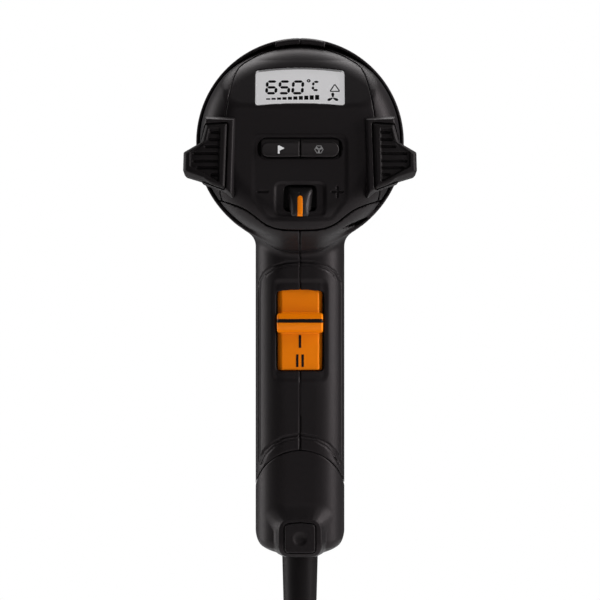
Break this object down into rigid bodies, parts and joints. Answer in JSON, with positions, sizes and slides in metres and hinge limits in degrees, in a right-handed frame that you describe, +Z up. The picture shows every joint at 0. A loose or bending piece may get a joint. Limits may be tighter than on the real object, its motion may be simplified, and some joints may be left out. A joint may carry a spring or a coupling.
{
  "type": "heat gun",
  "caption": "Pistol-shaped hot-air gun with a display, program and airflow keys, a rocker, a sliding power switch, side stand pads, a guarded steel outlet tube and a coiled lead.",
  "frame": {"origin": "centre of the grip, halfway across, through and along the handle", "axes": "+X to the right seen from behind, +Y along the barrel towards the nozzle, +Z up the handle towards the head"},
  "size_m": [0.1204, 0.2554, 0.3648],
  "materials": {
    "housing_plastic": "fine spark-eroded texture, near black",
    "panel_plastic": "smooth satin, near black",
    "stand_rubber": "soft matte",
    "heat_plastic": "glass-filled, matte",
    "screw_steel": "black zinc, satin",
    "lens_clear": "clear, polished",
    "lcd_face": "light grey reflective display",
    "board_laminate": "solder mask",
    "key_plastic": "soft satin",
    "orange_plastic": "satin orange",
    "spring_steel": "drawn wire",
    "motor_steel": "plated",
    "fan_plastic": "moulded",
    "mica": "pressed mica",
    "heater_ceramic": "unglazed",
    "heating_wire": "resistance wire, oxidised",
    "stainless_steel": "drawn stainless, faintly heat tinted",
    "sink_aluminium": "extruded",
    "capacitor_plastic": "moulded box",
    "lead_rubber": "silicone insulation",
    "ribbon_plastic": "flat cable",
    "contact_brass": "plain",
    "cord_rubber": "matte rubber sheath",
    "tie_fabric": "woven hook and loop",
    "pin_nickel": "nickel plate"
  },
  "bodies": {
    "gun": {"housing_left": "housing_plastic", "housing_right": "housing_plastic", "rear_cover": "housing_plastic", "control_panel": "panel_plastic", "stand_bracket_left": "housing_plastic", "stand_bracket_right": "housing_plastic", "stand_pad_left": "stand_rubber", "stand_pad_right": "stand_rubber", "front_collar": "heat_plastic", "protective_tube": "heat_plastic", "base_cap": "housing_plastic", "housing_screws": "screw_steel", "lcd_lens": "lens_clear", "lcd_module": "lcd_face", "display_board": "board_laminate", "key_board": "board_laminate", "slide_switch": "key_plastic", "release_spring": "spring_steel", "motor_can": "motor_steel", "motor_mount": "heat_plastic", "air_funnel": "heat_plastic", "terminal_plate": "mica", "heater_core": "heater_ceramic", "heating_coils": "heating_wire", "heater_sleeve": "mica", "temperature_sensor": "stainless_steel", "nozzle_tube": "stainless_steel", "power_board": "board_laminate", "triac_heatsink": "sink_aluminium", "suppression_capacitor": "capacitor_plastic", "heater_leads": "lead_rubber", "display_cable": "ribbon_plastic", "inlet_socket": "heat_plastic", "cord_connector": "heat_plastic", "connector_pins": "contact_brass", "cord_cores": "lead_rubber", "strain_relief": "cord_rubber", "power_cord": "cord_rubber", "cord_coil": "cord_rubber", "cord_tail": "cord_rubber", "cord_tie": "tie_fabric", "plug_body": "cord_rubber", "plug_pins": "pin_nickel"},
    "program_key": {"program_key": "key_plastic"},
    "airflow_key": {"airflow_key": "key_plastic"},
    "joystick": {"joystick": "key_plastic", "joystick_marker": "orange_plastic"},
    "power_slider": {"power_slider": "orange_plastic", "slider_stripe": "stand_rubber"},
    "release_button": {"release_button": "housing_plastic"},
    "fan": {"motor_shaft": "motor_steel", "fan_impeller": "fan_plastic"}
  },
  "joints": [
    {"name": "program_key_press", "type": "slide", "parent": "gun", "child": "program_key", "axis": [0, 1, 0], "range_m": [0, 0.0008], "stiffness_N_per_m": 800, "springref_m": -0.0005},
    {"name": "airflow_key_press", "type": "slide", "parent": "gun", "child": "airflow_key", "axis": [0, 1, 0], "range_m": [0, 0.0008], "stiffness_N_per_m": 800, "springref_m": -0.0005},
    {"name": "joystick_rock", "type": "hinge", "parent": "gun", "child": "joystick", "pos_m": [0, -0.041, 0.0676], "axis": [0, 0, 1], "range_deg": [-12, 12], "stiffness_Nm_per_rad": 0.02},
    {"name": "power_slide", "type": "slide", "parent": "gun", "child": "power_slider", "axis": [0, 0, -1], "range_m": [0, 0.015]},
    {"name": "release_press", "type": "slide", "parent": "gun", "child": "release_button", "axis": [0, 1, 0], "range_m": [0, 0.0025], "stiffness_N_per_m": 1500, "springref_m": -0.001},
    {"name": "fan_spin", "type": "hinge", "parent": "gun", "child": "fan", "pos_m": [0, 0, 0.0924], "axis": [0, 1, 0], "continuous": true}
  ]
}
